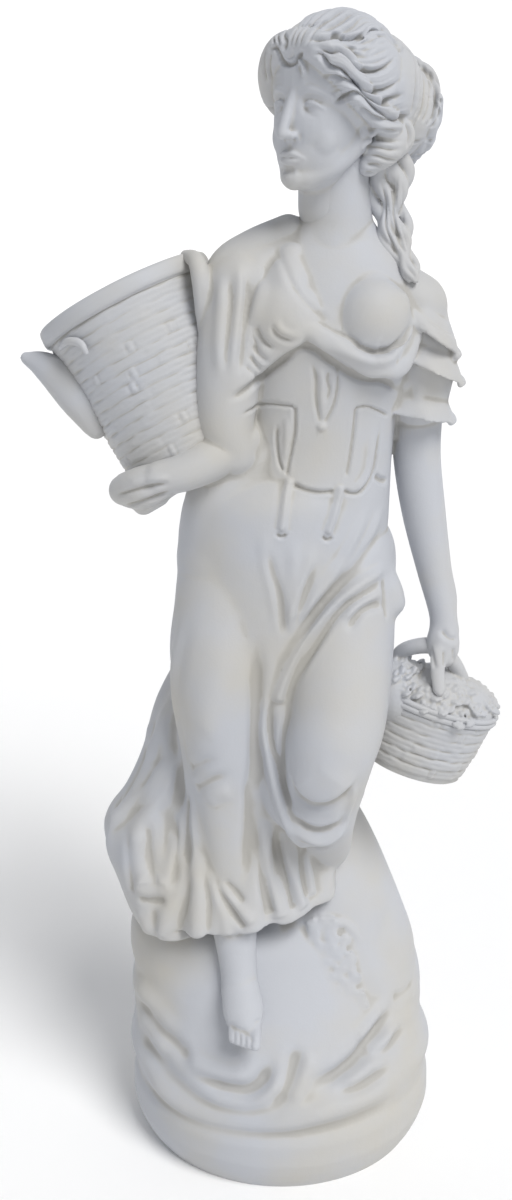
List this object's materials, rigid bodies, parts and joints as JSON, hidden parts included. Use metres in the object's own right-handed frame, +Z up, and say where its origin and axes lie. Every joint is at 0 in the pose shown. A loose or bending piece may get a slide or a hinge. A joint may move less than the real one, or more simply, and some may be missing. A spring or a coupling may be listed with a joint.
{
  "type": "garden statue",
  "caption": "Standing draped woman on a rock base, a large open basket held on her hip and a small basket of flowers hanging from her other hand.",
  "frame": {"origin": "middle of the flat underside of the base, on the ground", "axes": "+Z up, -Y towards the viewer of the picture (her front), +X to the viewer's right (her left)"},
  "size_m": [0.5766, 0.355, 1.3966],
  "materials": {
    "cast_stone": "matte"
  },
  "bodies": {
    "root": {"garden_statue": "cast_stone"}
  },
  "joints": []
}
